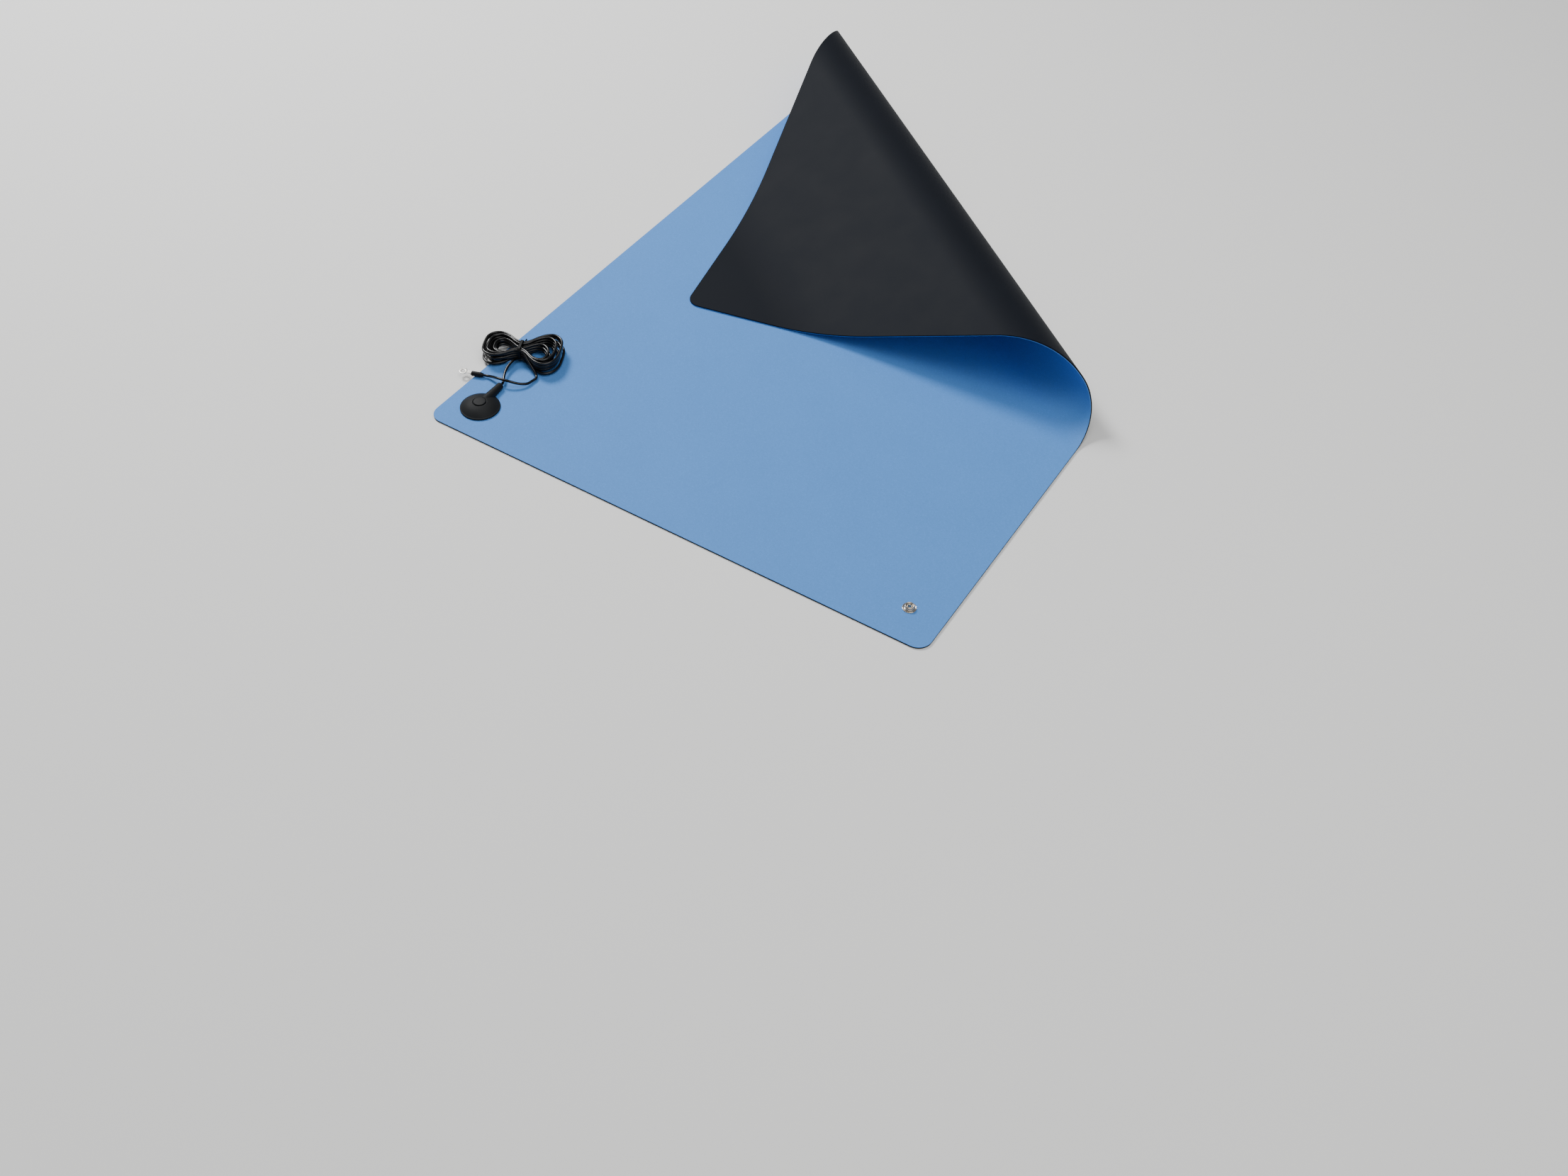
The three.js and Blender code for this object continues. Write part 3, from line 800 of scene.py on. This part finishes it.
def mat_point(across, along, height):
    """A place given from the front left corner of the mat, in millimetres, in the row frame."""
    corner_x = MAT_HIGH.x - bpy.context.scene.benchmat_mat.width
    return Vector((corner_x + across * MM, MAT_LOW.y + along * MM, height * MM))


# The cord's free stretches, to the cap and to the terminal, as mat_point takes them.
LEAD_POINTS = [
    (33.6, 86.0, 6.0),
    (30.6, 90.5, 6.6),
    (26.3, 99.0, 7.6),
    (24.2, 107.0, 8.5),
    (23.7, 115.4, 9.2),
]
TAIL_POINTS = [
    (58.6, 105.0, 4.4),
    (57.6, 97.5, 5.0),
    (54.2, 92.3, 6.2),
    (48.5, 88.0, 7.9),
    (42.0, 85.0, 9.5),
    (34.5, 83.0, 9.9),
    (27.0, 82.6, 8.9),
    (20.0, 83.4, 6.8),
]
HANK_PLACE = (22.0, 132.0)
TERMINAL_PLACE = (9.0, 81.6)
SLEEVE_AXIS = (SLEEVE_LOW.z + SLEEVE_HIGH.z) / 2
# How the cord runs into its first turn and out of its last, in the hank's own frame, in millimetres.
JOINING = [(-3.6, -12.2, 8.3), (-0.6, -9.3, 6.7), (3.0, -7.9, 5.4)]
LEAVING = [
    (4.0, -8.6, 17.2),
    (8.0, -12.4, 15.6),
    (12.5, -17.4, 12.8),
    (17.3, -22.3, 9.4),
    (21.8, -26.8, 6.4),
    (24.9, -31.2, 4.8),
    (25.2, -35.6, 4.4),
]
# One side of a lobe of the hank, as shares of its reach and of its half width.
LOBE = [
    (0.12, 0.07),
    (0.23, 0.27),
    (0.37, 0.62),
    (0.54, 0.91),
    (0.72, 1.00),
    (0.87, 0.80),
    (0.965, 0.43),
    (1.0, 0.0),
]


def hank_frame(sizes):
    """From the hank's own frame, with X along it, to the row frame."""
    place = mat_point(*HANK_PLACE, 0.0)
    return Matrix.Translation(place) @ Matrix.Rotation(sizes.hank_way, 4, "Z")


def lobe(reach, half, start, end, lean):
    """Half a turn: out from one side of the waist, round the end, and back to the other side."""
    side = math.copysign(1.0, reach)
    out = [(reach * x, -side * (start + (half - start) * y)) for x, y in LOBE]
    back = [(reach * x, side * (end + (half - end) * y)) for x, y in reversed(LOBE[:-1])]
    return [Vector((x, y + lean * x * abs(x / reach))) for x, y in out + back]


def hank_turns(sizes):
    """The turns of the hank. Each layer has nested turns, the inner one shorter, slimmer and lower."""
    wobble = random.Random(7)
    beside = 1.93 * sizes.radius
    above = 2.04 * sizes.radius
    lowest = HANK_LOW.z + 1.1 * sizes.radius
    waist = 2.0 * MM
    order = []
    for row in range(sizes.rows - 1):
        columns = range(sizes.columns)
        order += [(row, column) for column in (reversed(columns) if row % 2 == 0 else columns)]
    order += [(sizes.rows - 1, column) for column in range(1, sizes.columns)]
    slip = [1.4 * sizes.radius * (row * 1.6 % 2) for row in range(sizes.rows)]
    sway = [wobble.uniform(-0.05, 0.05) for _ in order]
    path = [(x * MM, y * MM, z * MM) for x, y, z in JOINING]
    for k, (row, column) in enumerate(order):
        nested = sizes.columns - 1 - column
        inward = nested * sizes.spread + slip[row] + wobble.uniform(-0.3, 0.3) * MM
        inner = max(0, nested - 1)
        y = (column + 0.5) * beside
        z = lowest + row * above
        after = order[min(k + 1, len(order) - 1)]
        next_y = (after[1] + 0.5) * beside if k + 1 < len(order) else y
        next_z = lowest + after[0] * above
        lean = sway[k] * inner - 0.13 * inner
        right_half = sizes.right_half - 0.9 * inward - 1.2 * MM * inner
        left_half = sizes.left_half - 0.62 * inward
        right = lobe(sizes.right_reach - inward, right_half, y, y, lean)
        left = lobe(-(sizes.left_reach - 0.8 * inward), left_half, y, next_y, 0.6 * lean)
        if k:
            path += [(-waist, -y, z), (waist, -y, z)]
        path += [(p.x, p.y, z) for p in right]
        path += [(waist, y, z), (-waist, y, z)]
        for i, p in enumerate(left):
            share = i / (len(left) - 1)
            path.append((p.x, p.y, z + (next_z - z) * share * share * (3 - 2 * share)))
    return path + [(x * MM, y * MM, z * MM) for x, y, z in LEAVING]


def twist_tie(bm, turned):
    """The tie: a flat band round the waist of the hank, and its two ends twisted together."""
    half = Vector((0.0, 9.6 * MM, (TIE_HIGH - TIE_LOW).z / 2))
    middle = Vector((0.0, 0.0, (TIE_HIGH.z + TIE_LOW.z) / 2))
    width = 3.2 * MM
    half_thick = 0.4 * MM
    r = 3.8 * MM
    corners = [(1, 1, 0), (-1, 1, 90), (-1, -1, 180), (1, -1, 270)]
    loop = []
    for side_y, side_z, first in corners:
        loop += arc((side_y * (half.y - r), side_z * (half.z - r)), r, first, first + 90, 7)
    section = [(-0.5, 0.0), (-0.42, 1.0), (0.42, 1.0), (0.5, 0.0), (0.42, -1.0), (-0.42, -1.0)]
    rings = []
    for i, (y, z) in enumerate(loop):
        before = Vector(loop[i - 1])
        after = Vector(loop[(i + 1) % len(loop)])
        along = (after - before).normalized()
        out = Vector((along.y, -along.x)) * half_thick
        places = [Vector((x * width, y + out.x * (d - 1), z + out.y * (d - 1))) for x, d in section]
        rings.append([bm.verts.new(middle + place) for place in places])
    join(bm, rings + rings[:1])
    start = middle + Vector((0.0, half.y - 1.0 * MM, 1.0 * MM))
    way = Vector((0.35, 0.85, 0.4)).normalized()
    side = way.orthogonal().normalized()
    steps = 28
    climb = 0.28 * MM
    wire = 0.5 * MM
    for strand in range(2):
        points = []
        for i in range(steps):
            angle = math.pi * strand + i * 0.55
            around = side * math.cos(angle) + way.cross(side) * math.sin(angle)
            points.append(start + way * (i * climb) + around * 1.1 * wire)
        tube(bm, points, [wire] * steps, 8)
    bmesh.ops.transform(bm, matrix=turned, verts=bm.verts)


class BENCHMAT_OT_cord(bpy.types.Operator):
    """Build the ground cord, with its hank and its two free stretches"""

    bl_idname = "benchmat.cord"
    bl_label = "Ground cord"

    def execute(self, context):
        sizes = context.scene.benchmat_cord
        snap = context.scene.benchmat_snap
        way = Vector((math.cos(snap.barrel_way), math.sin(snap.barrel_way), 0.0))
        axis = cap_middle() + Vector((0, 0, snap.barrel_end))
        leave = axis + way * snap.barrel_reach
        ring_way = Vector((math.cos(sizes.terminal_way), math.sin(sizes.terminal_way), 0.0))
        arrive = mat_point(*TERMINAL_PLACE, SLEEVE_AXIS / MM)
        to_row = hank_frame(sizes)
        turns = [to_row @ Vector(p) for p in hank_turns(sizes)]
        path = [leave - way * 3 * MM, leave, leave + way * 3 * MM]
        path += [mat_point(*p) for p in LEAD_POINTS]
        path += turns
        path += [mat_point(*p) for p in TAIL_POINTS]
        path += [arrive - ring_way * 3 * sizes.radius, arrive, arrive + ring_way * 2 * MM]
        line = smooth_line(path, 1.6 * MM)
        curve = bpy.data.curves.new("ground_cord", "CURVE")
        curve.dimensions = "3D"
        curve.bevel_depth = sizes.radius
        curve.bevel_resolution = 3
        curve.use_fill_caps = True
        spline = curve.splines.new("POLY")
        spline.points.add(len(line) - 1)
        for point, place in zip(spline.points, line):
            point.co = (*place, 1.0)
        spline.use_smooth = True
        made = bpy.data.objects.new("ground_cord", curve)
        context.scene.collection.objects.link(made)
        curve.materials.append(cord_jacket(context.scene.benchmat_finish.jacket))
        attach(made, "root")
        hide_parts("cord_lead", "cord_hank", "cord_tail")
        dark = moulded_plastic("sleeve_plastic", context.scene.benchmat_finish.sleeve, 0.42)
        band = bmesh.new()
        twist_tie(band, to_row)
        piece("twist_tie", mesh_from("twist_tie", band, 50), dark, "tie_plastic", "hank_tie")
        along = Matrix.Translation(arrive) @ Matrix.Rotation(sizes.terminal_way, 4, "Z")
        along = along @ Matrix.Rotation(QUARTER, 4, "Y")
        bm = bmesh.new()
        sleeve_solid(bm)
        bmesh.ops.transform(bm, matrix=along, verts=bm.verts)
        sleeve = mesh_from("shrunk_sleeve", bm, 50)
        piece("shrunk_sleeve", sleeve, dark, "sleeve_plastic", "terminal_sleeve")
        tin = plated_metal("tinned_metal", context.scene.benchmat_finish.tin, 0.28)
        bm = bmesh.new()
        terminal_solid(bm)
        bmesh.ops.transform(bm, matrix=along, verts=bm.verts)
        ring = mesh_from("crimped_ring", bm, 35)
        piece("crimped_ring", ring, tin, "tinned_metal", "ring_terminal")
        return {"FINISHED"}


def sleeve_solid(bm):
    """The shrunk sleeve along +Z: tight on the cord, then swelling over the crimp with faint ripples."""
    length = 13.0
    swell = 2.74
    crimp_room = 2.2
    crimp_start = 4.4
    cord_room = 1.5
    ripples = 14
    outside = [(1.9, 0.0), (2.15, 0.25), (2.25, 1.2), (2.6, 2.4)]
    for i in range(ripples + 1):
        place = 3.2 + i * (length - 3.6) / ripples
        outside.append((swell + 0.05 * math.cos(i * 1.9), place))
    inside = [
        (2.55, length),
        (crimp_room, length),
        (crimp_room, crimp_start),
        (cord_room, crimp_start),
        (cord_room, 0.0),
    ]
    spin(bm, [(r * MM, z * MM) for r, z in outside + inside], 48)


def terminal_solid(bm):
    """The terminal along +Z: a crimp barrel, a neck and a flat ring whose underside faces -X."""
    barrel = [(4.7, 1.6), (5.0, 1.9), (14.2, 1.9), (14.6, 1.7)]
    line = [Vector((0, 0, z * MM)) for z, _ in barrel]
    tube(bm, line, [r * MM for _, r in barrel], 32)
    edge = 0.15 * MM
    outer = 4.6 * MM
    hole = 2.2 * MM
    upper = -1.1 * MM
    lower = -1.9 * MM
    ring = [
        *arc((outer - edge, upper - edge), edge, 0, 90, 3),
        *arc((hole + edge, upper - edge), edge, 90, 180, 3),
        *arc((hole + edge, lower + edge), edge, 180, 270, 3),
        *arc((outer - edge, lower + edge), edge, 270, 360, 3),
    ]
    flat = Matrix.Translation((0, 0, 22.5 * MM)) @ Matrix.Rotation(QUARTER, 4, "Y")
    spin(bm, ring, 56, flat)
    neck = bmesh.ops.create_cube(bm, size=1.0)["verts"]
    bmesh.ops.scale(bm, vec=(0.8 * MM, 4.2 * MM, 6.2 * MM), verts=neck)
    bmesh.ops.translate(bm, vec=(-1.5 * MM, 0, 16.4 * MM), verts=neck)


# Each light's name, place, width and power. All point at the middle of the mat.
LIGHTS = [
    ("key", Vector((-2.2, 0.6, 2.2)), 0.85, 98.0),
    ("over", Vector((0.5, -0.3, 2.9)), 2.0, 40.0),
    ("fill", Vector((2.4, -1.4, 2.0)), 2.0, 14.0),
]


def area_light(name, place, width, power):
    lamp = bpy.data.lights.new(name, "AREA")
    lamp.shape = "SQUARE"
    lamp.size = width
    lamp.energy = power
    made = bpy.data.objects.new(name, lamp)
    bpy.context.scene.collection.objects.link(made)
    made.location = place
    made.rotation_euler = (-place).to_track_quat("-Z", "Y").to_euler()


class BENCHMAT_OT_stage(bpy.types.Operator):
    """Set up the camera, the pale floor and the soft light"""

    bl_idname = "benchmat.stage"
    bl_label = "Stage"

    def execute(self, context):
        s = context.scene.benchmat_stage
        optics = bpy.data.cameras.new("camera")
        optics.lens = s.lens
        optics.sensor_width = 36.0
        camera = bpy.data.objects.new("camera", optics)
        context.scene.collection.objects.link(camera)
        place = mat_point(s.across / MM, s.along / MM, s.height / MM)
        camera.matrix_world = (
            Matrix.Translation(place)
            @ Matrix.Rotation(s.heading, 4, "Z")
            @ Matrix.Rotation(QUARTER - s.pitch, 4, "X")
            @ Matrix.Rotation(s.roll, 4, "Z")
        )
        context.scene.camera = camera

        bm = bmesh.new()
        bmesh.ops.create_grid(bm, x_segments=1, y_segments=1, size=6.0)
        bmesh.ops.translate(bm, vec=(0, 0, -0.2 * MM), verts=bm.verts)
        mesh = bpy.data.meshes.new("floor")
        bm.to_mesh(mesh)
        bm.free()
        floor = bpy.data.objects.new("floor", mesh)
        context.scene.collection.objects.link(floor)
        mesh.materials.append(pale_floor(s.floor))

        for light in LIGHTS:
            area_light(*light)
        world = bpy.data.worlds.new("world")
        world.use_nodes = True
        back = world.node_tree.nodes["Background"]
        back.inputs["Color"].default_value = (1.0, 1.0, 1.0, 1.0)
        back.inputs["Strength"].default_value = 0.22
        context.scene.world = world
        return {"FINISHED"}


class BENCHMAT_PT_panel(bpy.types.Panel):
    """The steps of the bench mat"""

    bl_label = "Bench mat"
    bl_idname = "BENCHMAT_PT_panel"
    bl_space_type = "VIEW_3D"
    bl_region_type = "UI"
    bl_category = "Bench mat"

    def draw(self, context):
        for step in STEPS:
            self.layout.operator(step.bl_idname)


GROUPS = {
    "benchmat_mat": MatSizes,
    "benchmat_snap": SnapSizes,
    "benchmat_cord": CordSizes,
    "benchmat_finish": MatFinishes,
    "benchmat_stage": StageSettings,
}
STEPS = (
    BENCHMAT_OT_stage,
    BENCHMAT_OT_cord,
    BENCHMAT_OT_layers,
    BENCHMAT_OT_studs,
    BENCHMAT_OT_cap,
)


def register():
    for kind in (*GROUPS.values(), *STEPS, BENCHMAT_PT_panel):
        bpy.utils.register_class(kind)
    for name, kind in GROUPS.items():
        setattr(bpy.types.Scene, name, PointerProperty(type=kind))


def unregister():
    for name in GROUPS:
        delattr(bpy.types.Scene, name)
    for kind in reversed((*GROUPS.values(), *STEPS, BENCHMAT_PT_panel)):
        bpy.utils.unregister_class(kind)


def main():
    register()
    bpy.ops.benchmat.stage()
    bpy.ops.benchmat.cord()
    bpy.ops.benchmat.layers()
    bpy.ops.benchmat.studs()
    bpy.ops.benchmat.cap()


if __name__ == "__main__":
    main()
